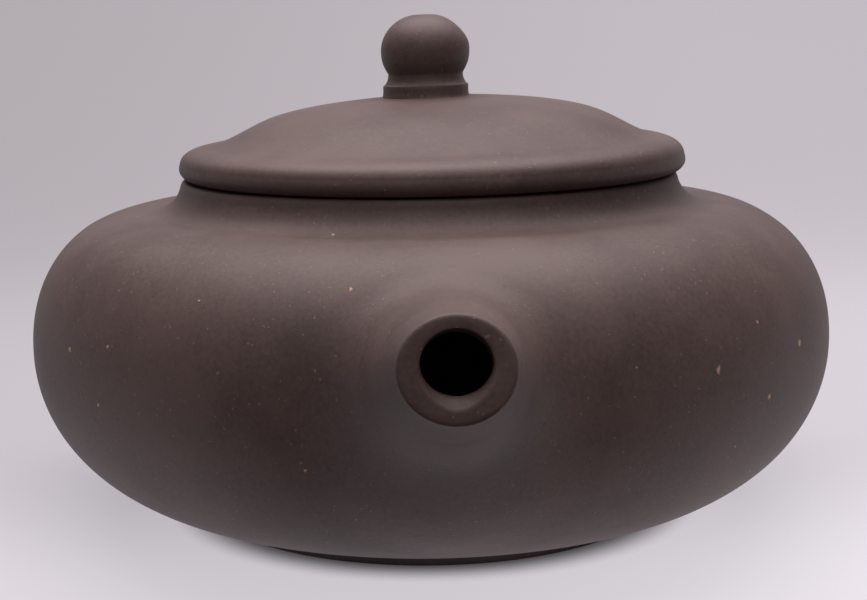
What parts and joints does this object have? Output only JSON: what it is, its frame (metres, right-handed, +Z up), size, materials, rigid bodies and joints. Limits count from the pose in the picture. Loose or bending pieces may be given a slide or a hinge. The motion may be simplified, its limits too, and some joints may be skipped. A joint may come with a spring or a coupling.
{
  "type": "yixing clay teapot",
  "caption": "Squat round unglazed dark brown clay teapot with a short tapered spout, ear handle, pierced leaf strainer and a lift-off cover lid with a ball knob.",
  "frame": {"origin": "centre of the foot ring's resting face, on the axis of the round body, at table level", "axes": "+Z up along the body's axis, -Y along the spout, +Y along the handle, +X to the right when the spout is seen from the front"},
  "size_m": [0.104, 0.1528, 0.0648],
  "materials": {
    "body_clay": "dark purplish brown unglazed stoneware, matt with a faint satin polish, fine grain and a few tan specks",
    "lid_clay": "the same dark brown unglazed stoneware, finely smoothed",
    "foot_clay": "the same dark brown unglazed stoneware, slightly rubbed where it rests",
    "inside_clay": "the same dark brown unglazed stoneware, rougher and unpolished"
  },
  "bodies": {
    "pot": {"base_disc": "body_clay", "foot_ring": "foot_clay", "body_wall": "body_clay", "shoulder_disc": "body_clay", "neck_ring": "body_clay", "spout": "body_clay", "spout_fillet": "body_clay", "strainer": "inside_clay", "handle": "body_clay", "upper_handle_fillet": "body_clay", "lower_handle_fillet": "body_clay"},
    "lid": {"lid_seat_plate": "lid_clay", "lid_flange": "inside_clay", "lid_dome": "lid_clay", "knob_collar": "lid_clay", "knob": "lid_clay"}
  },
  "joints": [
    {"name": "lid_lift", "type": "slide", "parent": "pot", "child": "lid", "axis": [0, 0, 1], "range_m": [0, 0.03]}
  ]
}
